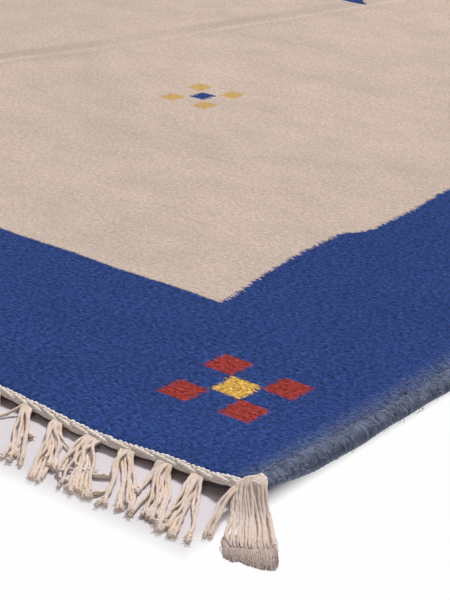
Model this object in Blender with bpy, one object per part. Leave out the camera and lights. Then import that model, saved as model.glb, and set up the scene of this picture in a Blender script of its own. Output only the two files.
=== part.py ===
"""A flat-woven wool rug, lying flat, with rolled side edges and a corded, tasselled fringe.

The rug lies on the plane z = 0. X runs across it, from side edge to side edge, and Y along it,
from the near end at -Y to the far end at +Y. Places near an end are given as on a loom: u is the
distance in from the right side edge and v the distance out past the woven end.
"""

import math
import random

import bmesh
import bpy
import numpy as np

# The cloth, in metres
CLOTH_WIDTH = 1.404
CLOTH_LENGTH = 2.000
CLOTH_THICKNESS = 0.0045
BORDER_WIDTH = 0.181
PIECE_GAP = 0.0003

# How the cloth lifts off the floor at its edges
SIDE_RISE = 0.0045
SIDE_RISE_REACH = 0.045
END_RISE = 0.0018
END_RISE_REACH = 0.090
END_SWELL = 0.0007
END_SWELL_TURN = 9.0
CREASE_HEIGHT = 0.0018
CREASE_HALF_WIDTH = 0.012

# Corners of the cloth that curl up: side and end say which corner, rise is the height at its tip
CORNER_CURLS = (
    # side, end, rise, reach
    (+1, -1, 0.0022, 0.100),
    (-1, -1, 0.0014, 0.100),
    (+1, +1, 0.0014, 0.100),
    (-1, +1, 0.0022, 0.100),
)

# How far the woven end strays outwards, at places in from the right side edge
END_WANDER = (
    # u, out
    (0.014, 0.0000),
    (0.046, -0.0010),
    (0.072, 0.0004),
    (0.099, 0.0034),
    (0.126, 0.0034),
    (0.154, 0.0012),
    (0.211, -0.0026),
    (0.268, 0.0000),
)

# Lines across and along the cloth where its mesh may bend, as distances from its middle
LINES_ACROSS = (0.0, CREASE_HALF_WIDTH, 0.090, 0.180, 0.270, 0.350, 0.672,
                CLOTH_WIDTH / 2 - BORDER_WIDTH, CLOTH_WIDTH / 2,
                *(CLOTH_WIDTH / 2 - u for u, _ in END_WANDER))
LINES_ALONG = (0.0, 0.170, 0.340, 0.500, 0.640, 0.740, CLOTH_LENGTH / 2 - BORDER_WIDTH,
               0.860, 0.900, 0.928, 0.955, 0.972, 0.986, CLOTH_LENGTH / 2)

# The wrapped roll along each side, fatter towards its ends, which lift off the floor
ROLL_WIDTH = 0.0105
ROLL_SIDES = 8
ROLL_SECTIONS = (
    # away from its end, foot, crest
    (0.000, 0.0096, 0.0156),
    (0.014, 0.0058, 0.0156),
    (0.028, 0.0026, 0.0148),
    (0.045, 0.0008, 0.0138),
    (0.072, 0.0000, 0.0120),
    (0.100, 0.0000, 0.0108),
    (0.140, 0.0000, 0.0100),
)

# The cord along each woven end. Its section: share of the width out from the cloth, share of
# the height up, going round from the foot of its inner face
CORD_WIDTH = 0.0057
CORD_HEIGHT = 0.0058
CORD_SECTION = ((0.0, 0.0), (0.0, 0.88), (0.30, 1.0), (0.70, 1.0), (1.0, 0.66), (1.0, 0.10))
CORD_OUTER_FACE = 4
CORD_RISE_ON_ROLL = 0.0050
CORD_RISE_REACH = 0.0060

# Tassels. The first seven are uneven, as tied; the rest follow at an even step.
# root_u: middle of its root, half_root: half the root's width, sweep: how far its tip lies from
# the root along u, reach: how far out its tip lies, fan: how far its outer locks spread
FIRST_TASSELS = (
    # root_u, half_root, sweep, reach, fan
    (-0.001, 0.0075, -0.0340, 0.0560, 0.0185),
    (0.035, 0.0036, -0.0300, 0.0580, 0.0075),
    (0.058, 0.0036, -0.0340, 0.0580, 0.0075),
    (0.086, 0.0036, -0.0390, 0.0600, 0.0085),
    (0.112, 0.0036, -0.0430, 0.0620, 0.0085),
    (0.141, 0.0036, -0.0440, 0.0600, 0.0085),
    (0.168, 0.0036, -0.0440, 0.0560, 0.0080),
)
TASSEL_COUNT = 50
LAST_ROOT_U = 1.396
LOCKS_PER_TASSEL = 3
EVEN_HALF_ROOT = 0.0036
EVEN_FAN = 0.0085
EVEN_REACH = (0.052, 0.061)
SWEEP_MIDDLE = -0.012
SWEEP_SWING = 0.022
SWEEP_PERIOD = 26
SWEEP_SETTLE = 4.5
SWEEP_JITTER = 0.0015
FRINGE_SEED = 11

# Stations along a lock, from the knotted head out to the tip
HEAD_OUT = 0.006
HEAD_WIDTH_SHARE = 1.25
HEAD_HEIGHT = 0.0042
HEAD_DROP_SHARE = 0.55
LOCK_STATIONS = (
    # way: share of the reach past the head, spread: share of the fan, width, height
    (0.26, 0.62, 0.0042, 0.0040),
    (0.64, 0.90, 0.0052, 0.0036),
    (1.00, 1.00, 0.0030, 0.0022),
)


def smooth_step(value):
    """Ease from 0 to 1 as value goes from 0 to 1."""
    value = min(max(value, 0.0), 1.0)
    return value * value * (3 - 2 * value)


def mirrored(distances):
    """Distances from the middle, on both sides of it, in rising order."""
    return sorted({-d for d in distances} | set(distances))


def cloth_lift(x, y):
    """Height of the cloth's underside above the floor."""
    side = SIDE_RISE * smooth_step((abs(x) - CLOTH_WIDTH / 2 + SIDE_RISE_REACH) / SIDE_RISE_REACH)
    swell = END_RISE + END_SWELL * math.sin(END_SWELL_TURN * x + y)
    end = swell * smooth_step((abs(y) - CLOTH_LENGTH / 2 + END_RISE_REACH) / END_RISE_REACH)
    curl = 0.0
    for corner_side, corner_end, rise, reach in CORNER_CURLS:
        away = math.hypot(x - corner_side * CLOTH_WIDTH / 2, y - corner_end * CLOTH_LENGTH / 2)
        curl += rise * smooth_step(1 - away / reach)
    crease = CREASE_HEIGHT * max(0.0, 1 - abs(x) / CREASE_HALF_WIDTH)
    return max(side, end) + curl + crease


def end_wander(x, end):
    """How far the woven end strays outwards from a straight line."""
    places, outs = zip(*END_WANDER)
    return float(np.interp(CLOTH_WIDTH / 2 + end * x, places, outs))


ACROSS = mirrored(LINES_ACROSS)
ALONG = mirrored(LINES_ALONG)


def end_edge(x, end):
    """Place along Y and underside height of the woven end, straight between the cloth's lines."""
    y_end = end * CLOTH_LENGTH / 2
    wander = [end_wander(line, end) for line in ACROSS]
    lift = [cloth_lift(line, y_end) for line in ACROSS]
    y_edge = y_end + end * float(np.interp(x, ACROSS, wander))
    return y_edge, float(np.interp(x, ACROSS, lift))


def cloth_y(x, line):
    """The Y place of a cross line, stretched so that the last one follows the wandering end."""
    end = 1 if line > 0 else -1
    share = smooth_step((abs(line) - CLOTH_LENGTH / 2 + END_RISE_REACH) / END_RISE_REACH)
    return line + end * share * end_wander(x, end)


def make_material(name, colour, roughness):
    """A Principled material of one colour."""
    material = bpy.data.materials.new(name)
    material.use_nodes = True
    shader = material.node_tree.nodes["Principled BSDF"]
    shader.inputs["Base Color"].default_value = (*colour, 1.0)
    shader.inputs["Roughness"].default_value = roughness
    shader.inputs["Metallic"].default_value = 0.0
    return material


def add_object(name, bm, materials):
    """Make an object of a finished bmesh, with its faces pointing out."""
    bmesh.ops.recalc_face_normals(bm, faces=bm.faces)
    mesh = bpy.data.meshes.new(name)
    bm.to_mesh(mesh)
    bm.free()
    for material in materials:
        mesh.materials.append(material)
    made = bpy.data.objects.new(name, mesh)
    bpy.context.collection.objects.link(made)
    return made


def in_border(x, y):
    """True for a point of the cloth's border."""
    return abs(x) > CLOTH_WIDTH / 2 - BORDER_WIDTH or abs(y) > CLOTH_LENGTH / 2 - BORDER_WIDTH


def build_cloth(field, border):
    """The woven panel: a closed sheet on the lines across and along the cloth."""
    bm = bmesh.new()
    sheets = []
    for height in (0.0, CLOTH_THICKNESS):
        rows = []
        for line in ALONG:
            rows.append([bm.verts.new((x, cloth_y(x, line), cloth_lift(x, line) + height)) for x in ACROSS])
        sheets.append(rows)
    for rows in sheets:
        for j in range(len(ALONG) - 1):
            for i in range(len(ACROSS) - 1):
                face = bm.faces.new((rows[j][i], rows[j][i + 1], rows[j + 1][i + 1], rows[j + 1][i]))
                middle = face.calc_center_median()
                face.material_index = 1 if in_border(middle.x, middle.y) else 0
    bottom, top = sheets
    rims = [[rows[0] for rows in sheets], [rows[-1] for rows in sheets]]
    rims += [[[row[0] for row in rows] for rows in sheets], [[row[-1] for row in rows] for rows in sheets]]
    for low, high in rims:
        for i in range(len(low) - 1):
            bm.faces.new((low[i], low[i + 1], high[i + 1], high[i])).material_index = 1
    return add_object("woven_panel", bm, (field, border))


def build_side_roll(name, side, material):
    """The wrapped roll beside the cloth's edge, one ring of points at each line along the cloth."""
    bm = bmesh.new()
    edge = side * CLOTH_WIDTH / 2
    middle = edge + side * (PIECE_GAP + ROLL_WIDTH / 2)
    aways, feet, crests = zip(*ROLL_SECTIONS)
    flat = math.cos(math.pi / ROLL_SIDES)
    rings = []
    for line in ALONG:
        away = CLOTH_LENGTH / 2 - abs(line)
        foot = float(np.interp(away, aways, feet))
        half_height = (float(np.interp(away, aways, crests)) - foot) / 2
        ring = []
        for k in range(ROLL_SIDES):
            turn = math.tau * (k + 0.5) / ROLL_SIDES
            x = middle + math.cos(turn) / flat * ROLL_WIDTH / 2
            z = foot + (1 + math.sin(turn) / flat) * half_height
            ring.append(bm.verts.new((x, cloth_y(edge, line), z)))
        rings.append(ring)
    for near, far in zip(rings, rings[1:]):
        for k in range(ROLL_SIDES):
            after = (k + 1) % ROLL_SIDES
            bm.faces.new((near[k], near[after], far[after], far[k]))
    bm.faces.new(rings[0])
    bm.faces.new(rings[-1])
    return add_object(name, bm, (material,))


def tassel_rows():
    """Every tassel of one end, from the right side edge to the left."""
    rows = list(FIRST_TASSELS)
    draw = random.Random(FRINGE_SEED)
    first_even = len(rows)
    step = (LAST_ROOT_U - rows[-1][0]) / (TASSEL_COUNT - first_even)
    for number in range(1, TASSEL_COUNT - first_even + 1):
        swing = -math.cos(math.tau * number / SWEEP_PERIOD)
        settle = min(1.0, number / SWEEP_SETTLE)
        sweep = FIRST_TASSELS[-1][2] * (1 - settle) + (SWEEP_MIDDLE + SWEEP_SWING * swing) * settle
        sweep += draw.uniform(-SWEEP_JITTER, SWEEP_JITTER)
        root = FIRST_TASSELS[-1][0] + step * number
        rows.append((root, EVEN_HALF_ROOT, sweep, draw.uniform(*EVEN_REACH), EVEN_FAN))
    return rows


def build_fringe(name, end, material):
    """One end cord with its tassels, each tassel a head that parts into locks lying on the floor."""
    bm = bmesh.new()

    def point(u, out, z):
        """A vertex at u from the right edge, out past the cloth, z above the floor."""
        x = -end * (CLOTH_WIDTH / 2 - u)
        return bm.verts.new((x, end_edge(x, end)[0] + end * out, z))

    def foot_at(u):
        """Height of the end cord's foot, which climbs where the cord passes over a side roll."""
        past = max(-u, u - CLOTH_WIDTH, 0.0)
        climb = CORD_RISE_ON_ROLL * min(1.0, past / CORD_RISE_REACH)
        return end_edge(-end * (CLOTH_WIDTH / 2 - u), end)[1] + climb

    tassels = tassel_rows()
    overhang = PIECE_GAP + ROLL_WIDTH
    root_starts = [row[0] - row[1] for row in tassels]
    root_ends = [row[0] + row[1] for row in tassels]
    bends = [u for u, _ in END_WANDER]
    stations = sorted([-overhang, CLOTH_WIDTH + overhang, *root_starts, *root_ends, *bends])
    root_columns = [stations.index(u) for u in root_starts]

    rings = []
    for u in stations:
        foot = foot_at(u)
        rings.append([point(u, PIECE_GAP + out * CORD_WIDTH, foot + up * CORD_HEIGHT)
                      for out, up in CORD_SECTION])
    sides = len(CORD_SECTION)
    for j in range(len(stations) - 1):
        for k in range(sides):
            if j in root_columns and k == CORD_OUTER_FACE:
                continue
            after = (k + 1) % sides
            bm.faces.new((rings[j][k], rings[j][after], rings[j + 1][after], rings[j + 1][k]))
    bm.faces.new(rings[0])
    bm.faces.new(rings[-1])

    for column, (root_u, half_root, sweep, reach, fan) in zip(root_columns, tassels):
        high, low = CORD_OUTER_FACE, CORD_OUTER_FACE + 1
        root = (rings[column][high], rings[column + 1][high], rings[column + 1][low], rings[column][low])
        head_half = half_root * HEAD_WIDTH_SHARE
        head_low = foot_at(root_u) * HEAD_DROP_SHARE
        out = PIECE_GAP + CORD_WIDTH + HEAD_OUT
        run = reach - out
        head_slide = sweep * HEAD_OUT / reach
        tops, feet = [], []
        for k in range(LOCKS_PER_TASSEL + 1):
            u = root_u + head_slide + head_half * (2 * k / LOCKS_PER_TASSEL - 1)
            tops.append(point(u, out, head_low + HEAD_HEIGHT))
            feet.append(point(u, out, head_low))
        bm.faces.new((root[1], root[0], *tops))
        bm.faces.new((root[3], root[2], *reversed(feet)))
        bm.faces.new((root[0], root[3], feet[0], tops[0]))
        bm.faces.new((root[2], root[1], tops[-1], feet[-1]))
        for k in range(LOCKS_PER_TASSEL):
            lane = 2 * k / (LOCKS_PER_TASSEL - 1) - 1
            last = (tops[k], tops[k + 1], feet[k + 1], feet[k])
            for way, spread, width, height in LOCK_STATIONS:
                u = root_u + head_slide + (sweep - head_slide) * way + lane * fan * spread
                far = out + run * way
                low_u, high_u = u - width / 2, u + width / 2
                ring = (point(low_u, far, height), point(high_u, far, height),
                        point(high_u, far, 0.0), point(low_u, far, 0.0))
                for a in range(4):
                    b = (a + 1) % 4
                    bm.faces.new((last[a], last[b], ring[b], ring[a]))
                last = ring
            bm.faces.new(last)
    return add_object(name, bm, (material,))


for old in list(bpy.data.objects):
    bpy.data.objects.remove(old, do_unlink=True)

cream_wool = make_material("cream field wool", (0.60, 0.50, 0.42), 0.95)
blue_wool = make_material("blue border wool", (0.035, 0.060, 0.200), 0.95)
edge_wool = make_material("grey-blue edge wool", (0.100, 0.125, 0.195), 0.95)
fringe_cotton = make_material("undyed fringe cotton", (0.62, 0.53, 0.46), 0.90)

build_cloth(cream_wool, blue_wool)
build_side_roll("side_roll_right", 1, edge_wool)
build_side_roll("side_roll_left", -1, edge_wool)
build_fringe("fringe_near", -1, fringe_cotton)
build_fringe("fringe_far", 1, fringe_cotton)
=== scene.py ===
# A flat-woven wool rug lying on a pale floor. X runs across it and Y along it, from the near end
# at -Y. Places near an end are given as in the frame's source: u is the distance in from the right
# side edge and out is the distance past the woven end.
import math

import bpy
import numpy as np
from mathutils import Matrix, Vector


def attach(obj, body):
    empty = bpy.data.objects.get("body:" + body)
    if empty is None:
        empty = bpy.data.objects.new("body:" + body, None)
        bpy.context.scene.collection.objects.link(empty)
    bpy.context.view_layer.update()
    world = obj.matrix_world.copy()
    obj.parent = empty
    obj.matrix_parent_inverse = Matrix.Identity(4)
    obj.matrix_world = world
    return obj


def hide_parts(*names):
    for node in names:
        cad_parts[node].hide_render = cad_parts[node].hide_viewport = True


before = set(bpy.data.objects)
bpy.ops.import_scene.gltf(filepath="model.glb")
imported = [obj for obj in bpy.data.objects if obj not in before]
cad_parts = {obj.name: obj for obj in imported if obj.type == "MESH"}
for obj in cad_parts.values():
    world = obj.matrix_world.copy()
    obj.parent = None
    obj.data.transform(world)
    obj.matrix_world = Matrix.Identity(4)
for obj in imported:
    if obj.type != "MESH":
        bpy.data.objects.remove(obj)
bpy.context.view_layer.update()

# The view: a camera a little above the near right corner, looking across the rug to its far left,
# with a pale studio floor that runs out to white and carries painted shade under the rug's edges,
# a key light from behind, a weaker one from the camera's side and an even fill.
CAMERA_PLACE = (1.2422, -1.6608, 0.4949)
CAMERA_TURN = math.radians(40.23)
CAMERA_DIP = math.radians(23.80)
CAMERA_LENS = 109.07
SENSOR_WIDTH = 36.0
CAMERA_CLIP = (0.05, 120.0)
FLOOR_HALF = 40.0
FLOOR_COLOUR = (0.690, 0.655, 0.690)
# Painted shade: a dark strip painted on the floor right under the rug's edges, where no light gets in.
FLOOR_PAINTED_SHADE = (0.330, 0.265, 0.262)
FLOOR_WHITE = (0.99, 0.99, 0.99)
FLOOR_PAINTED_SHADE_REACH = ((0.700, 0.703), (1.0065, 1.0125))
FLOOR_WHITE_REACH = ((0.700, 0.714), (1.052, 1.070))
LIGHTS = (
    # name, travel, height, strength, colour, softness
    ("key", (0.30, -0.95), 47.0, 3.20, (1.0, 0.985, 0.965), 9.0),
    ("front", (-0.40, 0.90), 50.0, 0.38, (0.98, 0.98, 1.0), 45.0),
)
FILL_COLOUR = (0.95, 0.96, 1.0)
FILL_STRENGTH = 0.19


def feed(tree, socket, value):
    """Set a socket to a value, or link another node's output to it."""
    if isinstance(value, bpy.types.NodeSocket):
        tree.links.new(value, socket)
    elif value is not None:
        socket.default_value = (*value, 1.0) if socket.type == "RGBA" and len(value) == 3 else value


def add_node(tree, kind, *values, sockets=None, **settings):
    """Add a node and give its outputs. Values feed its inputs in their order, sockets by name."""
    node = tree.nodes.new(kind)
    for name, setting in settings.items():
        setattr(node, name, setting)
    for socket, value in zip(node.inputs, values):
        feed(tree, socket, value)
    for name, value in (sockets or {}).items():
        feed(tree, node.inputs[name], value)
    return node.outputs


def sums(tree, operation, *values):
    """The result of a maths node."""
    return add_node(tree, "ShaderNodeMath", *values, operation=operation)[0]


def split(tree, place):
    """The three numbers of a place."""
    return add_node(tree, "ShaderNodeSeparateXYZ", place)


def ranged(tree, value, *limits):
    """A value carried from one range to another, and held within it."""
    return add_node(tree, "ShaderNodeMapRange", value, *limits)[0]


def mixed(tree, share, first, second):
    """A colour between two, by share."""
    node = tree.nodes.new("ShaderNodeMix")
    node.data_type = "RGBA"
    for number, value in ((0, share), (6, first), (7, second)):
        feed(tree, node.inputs[number], value)
    return node.outputs[2]


def new_material(name, roughness, specular, sheen=0.0):
    """A material with its tree, its shader and the object's own coordinates."""
    made = bpy.data.materials.new(name)
    made.use_nodes = True
    tree = made.node_tree
    shader = tree.nodes["Principled BSDF"]
    shader.inputs["Roughness"].default_value = roughness
    shader.inputs["Specular IOR Level"].default_value = specular
    shader.inputs["Sheen Weight"].default_value = sheen
    return made, tree, shader, add_node(tree, "ShaderNodeTexCoord")["Object"]


def place_object(name, data):
    """Put an object with its data into the scene."""
    made = bpy.data.objects.new(name, data)
    bpy.context.collection.objects.link(made)
    return made


camera_data = bpy.data.cameras.new("camera")
camera_data.lens = CAMERA_LENS
camera_data.sensor_width = SENSOR_WIDTH
camera_data.clip_start, camera_data.clip_end = CAMERA_CLIP
camera = place_object("camera", camera_data)
camera.location = CAMERA_PLACE
looking = Vector((-math.sin(CAMERA_TURN) * math.cos(CAMERA_DIP),
                  math.cos(CAMERA_TURN) * math.cos(CAMERA_DIP),
                  -math.sin(CAMERA_DIP)))
camera.rotation_mode = "QUATERNION"
camera.rotation_quaternion = looking.to_track_quat("-Z", "Y")
bpy.context.scene.camera = camera
bpy.context.scene.view_settings.view_transform = "Standard"

floor_mesh = bpy.data.meshes.new("studio_floor")
floor_mesh.from_pydata(
    [(-FLOOR_HALF, -FLOOR_HALF, 0), (FLOOR_HALF, -FLOOR_HALF, 0),
     (FLOOR_HALF, FLOOR_HALF, 0), (-FLOOR_HALF, FLOOR_HALF, 0)], [], [(0, 1, 2, 3)])
studio_floor = place_object("studio_floor", floor_mesh)
floor_paint, tree, floor_shader, floor_place = new_material("pale floor", roughness=0.85, specular=0.15)
floor_axes = split(tree, floor_place)
past_reach = []
for reaches in (FLOOR_PAINTED_SHADE_REACH, FLOOR_WHITE_REACH):
    shares = [ranged(tree, sums(tree, "ABSOLUTE", floor_axes[axis]), *reach, 0.0, 1.0)
              for axis, reach in enumerate(reaches)]
    past_reach.append(sums(tree, "MAXIMUM", *shares))
open_share, white_share = past_reach
# Painted shade: the floor is painted dark just under the rug's edges, and runs out to plain white beyond.
feed(tree, floor_shader.inputs["Base Color"], mixed(tree, open_share, FLOOR_PAINTED_SHADE, FLOOR_COLOUR))
plain_white = add_node(tree, "ShaderNodeEmission", FLOOR_WHITE, 1.0)
floor_mix = add_node(tree, "ShaderNodeMixShader", white_share, floor_shader.outputs[0], plain_white[0])
tree.links.new(floor_mix[0], tree.nodes["Material Output"].inputs["Surface"])
floor_mesh.materials.append(floor_paint)

for name, travel, height, strength, colour, softness in LIGHTS:
    light_data = bpy.data.lights.new(name, "SUN")
    light_data.energy = strength
    light_data.color = colour
    light_data.angle = math.radians(softness)
    light = place_object(name, light_data)
    way = Vector((*travel, 0)).normalized() * math.cos(math.radians(height))
    way.z = -math.sin(math.radians(height))
    light.rotation_mode = "QUATERNION"
    light.rotation_quaternion = way.to_track_quat("-Z", "Y")

studio = bpy.data.worlds.new("studio")
studio.use_nodes = True
studio.node_tree.nodes["Background"].inputs["Color"].default_value = (*FILL_COLOUR, 1.0)
studio.node_tree.nodes["Background"].inputs["Strength"].default_value = FILL_STRENGTH
bpy.context.scene.world = studio


# The woven panel: wool weft beaten down hard over cotton warps, so that only the weft shows, as
# small grains in columns, with painted shade in the gaps between them. The cream field, the blue
# border and the square figures are changes of weft in the one cloth. A fold has left a slanting
# crease across its middle, with painted light and shade along it.
CLOTH_WIDTH = 1.404
CLOTH_LENGTH = 2.000
CLOTH_THICKNESS = 0.0045
PIECE_GAP = 0.0003
SIDE_RISE = 0.0045
SIDE_RISE_REACH = 0.045
END_RISE = 0.0018
END_RISE_REACH = 0.090
END_SWELL = 0.0007
END_SWELL_TURN = 9.0
CORNER_CURLS = (
    # side, end, rise, reach
    (+1, -1, 0.0022, 0.100),
    (-1, -1, 0.0014, 0.100),
    (+1, +1, 0.0014, 0.100),
    (-1, +1, 0.0022, 0.100),
)
END_WANDER = (
    # u, out
    (0.014, 0.0000),
    (0.046, -0.0010),
    (0.072, 0.0004),
    (0.099, 0.0034),
    (0.126, 0.0034),
    (0.154, 0.0012),
    (0.211, -0.0026),
    (0.268, 0.0000),
)
CREASE_HEIGHT = 0.0011
CREASE_HALF_WIDTH = 0.010
CREASE_DIP = 0.0006
CREASE_LINE = (
    # y, x, strength
    (-0.900, -0.140, 0.0),
    (-0.620, -0.034, 0.6),
    (-0.520, -0.001, 0.9),
    (-0.430, 0.038, 0.7),
    (-0.360, 0.062, 0.3),
    (-0.277, 0.091, 0.8),
    (-0.174, 0.128, 0.7),
    (0.150, 0.235, 0.4),
    (0.400, 0.310, 0.0),
)
UNDULATIONS = (
    # height, turns across in a metre, turns along in a metre, start
    (0.00018, 1.1, 0.7, 0.3),
    (0.00014, -0.6, 1.9, 2.1),
    (0.00010, 3.1, 0.9, 4.0),
    (0.00007, 2.3, -4.4, 1.2),
    (0.00004, 9.5, 2.2, 0.6),
    (0.00003, -4.1, 8.7, 5.1),
)
UNDULATION_FADE = 0.060
CLOTH_STEP = 0.0100
EDGE_STEPS = (0.0, 0.0005, 0.0016, 0.0034, 0.0060, 0.0100, 0.0160)
EDGE_ROUNDING = 0.0013
EDGE_ROUNDING_REACH = 0.0036


def eased(value):
    """Ease from 0 to 1 as value goes from 0 to 1."""
    value = np.clip(value, 0.0, 1.0)
    return value * value * (3 - 2 * value)


def on_line(line, place):
    """What a table of rows says between its rows, where the first number of each is its place."""
    table = np.asarray(line)
    return np.array([np.interp(place, table[:, 0], table[:, k]) for k in range(1, table.shape[1])])


def cloth_lift(x, y):
    """Height of the cloth's underside above the floor, without its crease."""
    side = SIDE_RISE * eased((np.abs(x) - CLOTH_WIDTH / 2 + SIDE_RISE_REACH) / SIDE_RISE_REACH)
    swell = END_RISE + END_SWELL * np.sin(END_SWELL_TURN * x + y)
    end = swell * eased((np.abs(y) - CLOTH_LENGTH / 2 + END_RISE_REACH) / END_RISE_REACH)
    curl = 0.0
    for corner_side, corner_end, rise, reach in CORNER_CURLS:
        away = np.hypot(x - corner_side * CLOTH_WIDTH / 2, y - corner_end * CLOTH_LENGTH / 2)
        curl = curl + rise * eased(1 - away / reach)
    return np.maximum(side, end) + curl


def end_wander(x, end):
    """How far the woven end strays outwards from a straight line."""
    return on_line(END_WANDER, CLOTH_WIDTH / 2 + end * x)[0]


def undulation(x, y):
    """Slow waves left in the cloth by its folding, none at its edges."""
    inside = np.minimum(CLOTH_WIDTH / 2 - np.abs(x), CLOTH_LENGTH / 2 - np.abs(y))
    height = 0.0
    for tall, across, along, start in UNDULATIONS:
        height = height + tall * (1 + np.sin(math.tau * (across * x + along * y) + start))
    return height * eased(inside / UNDULATION_FADE)


def crease(x, y):
    """The fold's low ridge, with a slight dip on its left."""
    middle, strength = on_line(CREASE_LINE, y)
    away = (x - middle) / CREASE_HALF_WIDTH
    ridge = CREASE_HEIGHT * np.exp(-(away * 1.6) ** 2)
    dip = CREASE_DIP * np.exp(-((away + 1.4) * 1.2) ** 2)
    return (ridge - dip) * strength


def graded_lines(half):
    """Places from -half to half, closer together near both edges."""
    inner = half - EDGE_STEPS[-1]
    count = round(2 * inner / CLOTH_STEP)
    edges = [half - step for step in EDGE_STEPS[:-1]]
    return np.array(sorted([-e for e in edges] + edges + list(np.linspace(-inner, inner, count + 1))))


def add_mesh(name, points, faces, material):
    """Make an object of points and faces in the frame's own coordinates, shaded smooth."""
    mesh = bpy.data.meshes.new(name)
    mesh.from_pydata(np.asarray(points, float).tolist(), [], faces)
    mesh.materials.append(material)
    mesh.shade_smooth()
    return place_object(name, mesh)


def grid_faces(rows, columns, start=0, flip=False):
    """Quads over a grid of points that is stored row by row."""
    faces = []
    for j in range(rows - 1):
        for i in range(columns - 1):
            a = start + j * columns + i
            quad = (a, a + 1, a + columns + 1, a + columns)
            faces.append(quad[::-1] if flip else quad)
    return faces


def times(tree, *values):
    """One value times another."""
    return sums(tree, "MULTIPLY", *values)


def minus(tree, *values):
    """One value less another."""
    return sums(tree, "SUBTRACT", *values)


def swayed(tree, base, pattern, strength):
    """A base moved both ways by a pattern that runs from 0 to 1."""
    return sums(tree, "MULTIPLY_ADD", minus(tree, pattern, 0.5), strength, base)


def noise(tree, place, scale, detail=2.0, roughness=0.5):
    """A soft noise from 0 to 1 at places scaled by a number or by one number for each axis."""
    if isinstance(scale, tuple):
        place = add_node(tree, "ShaderNodeVectorMath", place, scale, operation="MULTIPLY")[0]
        scale = 1.0
    return add_node(tree, "ShaderNodeTexNoise", sockets={
        "Vector": place, "Scale": scale, "Detail": detail, "Roughness": roughness})[0]


def spread(tree, value, low, high):
    """Stretch a value from 0..1 to low..high."""
    return sums(tree, "MULTIPLY_ADD", value, high - low, low)


def coloured(tree, shader, colour, shade):
    """Give a shader a colour times a shade."""
    shaded = add_node(tree, "ShaderNodeVectorMath", colour, shade, operation="MULTIPLY")
    tree.links.new(shaded[0], shader.inputs["Base Color"])


def bumped(tree, shader, height, strength, distance):
    """Raise fine relief on a shader."""
    bump = add_node(tree, "ShaderNodeBump", sockets={
        "Strength": strength, "Distance": distance, "Height": height})
    tree.links.new(bump[0], shader.inputs["Normal"])


def curve_through(tree, value, spots):
    """The height of a curve through spots, all from 0 to 1, at a value."""
    node = tree.nodes.new("ShaderNodeFloatCurve")
    tree.links.new(value, node.inputs["Value"])
    points = node.mapping.curves[0].points
    for k, spot in enumerate(spots):
        if k < 2:
            points[k].location = spot
        else:
            points.new(*spot)
    node.mapping.update()
    return node.outputs[0]


def new_group(name, inputs, outputs):
    """A shader node group with float sockets, except those marked as vectors by a star."""
    group = bpy.data.node_groups.new(name, "ShaderNodeTree")
    for names, side in ((inputs, "INPUT"), (outputs, "OUTPUT")):
        for socket in names:
            kind = "NodeSocketVector" if socket.endswith("*") else "NodeSocketFloat"
            group.interface.new_socket(socket.rstrip("*"), in_out=side, socket_type=kind)
    return group, group.nodes.new("NodeGroupInput").outputs, group.nodes.new("NodeGroupOutput").inputs


def use_group(tree, group, **values):
    """Place a group in a material; words in its socket names are joined by underscores."""
    return add_node(tree, "ShaderNodeGroup", node_tree=group, sockets={
        name.replace("_", " ").capitalize(): value for name, value in values.items()})


# One grain of the weave is a short float of weft over one warp. Neighbouring columns lie half a
# grain apart. The group gives the number of the grain's row, its domed height and its own tone.
GRAIN_STRAY = 0.006
GRAIN_STRAY_TURNS = 14.0
weave, given, result = new_group("weft grains", ("Place*", "Warp pitch", "Grain pitch"),
                                 ("Grain row", "Dome", "Tone"))
wander_noise = add_node(weave, "ShaderNodeTexNoise", sockets={
    "Vector": given["Place"], "Scale": GRAIN_STRAY_TURNS, "Detail": 2.0})
centred = add_node(weave, "ShaderNodeVectorMath", wander_noise["Color"], (0.5, 0.5, 0.5),
                   operation="SUBTRACT")[0]
strayed = add_node(weave, "ShaderNodeVectorMath", centred, (GRAIN_STRAY, GRAIN_STRAY, 0.0),
                   given["Place"], operation="MULTIPLY_ADD")[0]
strayed = split(weave, strayed)
column_place = sums(weave, "DIVIDE", strayed[0], given["Warp pitch"])
column = sums(weave, "FLOOR", column_place)
drop = times(weave, sums(weave, "FLOORED_MODULO", column, 2.0), 0.5)
row_place = sums(weave, "ADD", sums(weave, "DIVIDE", strayed[1], given["Grain pitch"]), drop)
row = sums(weave, "FLOOR", row_place)
across_grain = minus(weave, minus(weave, column_place, column), 0.5)
along_grain = minus(weave, minus(weave, row_place, row), 0.5)
dome = times(weave, sums(weave, "COSINE", times(weave, across_grain, math.pi)),
             sums(weave, "COSINE", times(weave, along_grain, math.pi)))
grain_key = add_node(weave, "ShaderNodeCombineXYZ", column, row, 0.0)[0]
tone = add_node(weave, "ShaderNodeTexWhiteNoise", sockets={"Vector": grain_key}, noise_dimensions="2D")
for socket, value in (("Grain row", row), ("Dome", dome), ("Tone", tone["Value"])):
    weave.links.new(value, result[socket])

WARP_PITCH = 0.0024
GRAIN_PITCH = 0.0014
TOOTH_LENGTH = 0.0012
TOOTH_JITTER = 0.0034
TOOTH_RAG = 0.0095
JOIN_SOFTNESS = 0.0021
FIELD_HALF_WIDTH = 0.521
FIELD_HALF_LENGTH = 0.8185
# How far the field's side edge strays outwards, by how far along the rug it is
FIELD_EDGE_WANDER = (
    # along, out
    (-0.820, 0.0050),
    (-0.775, -0.0010),
    (-0.733, -0.0070),
    (-0.677, -0.0095),
    (-0.659, -0.0080),
    (-0.650, 0.0030),
    (-0.594, 0.0026),
    (-0.537, -0.0013),
    (-0.300, 0.0020),
    (-0.050, -0.0025),
    (0.250, 0.0030),
    (0.620, -0.0030),
    (0.820, 0.0020),
)
EDGE_WANDER_SPAN = 0.030
FIELD_END_WANDER = 0.004
FIELD_END_TURNS = 11.0
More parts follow.
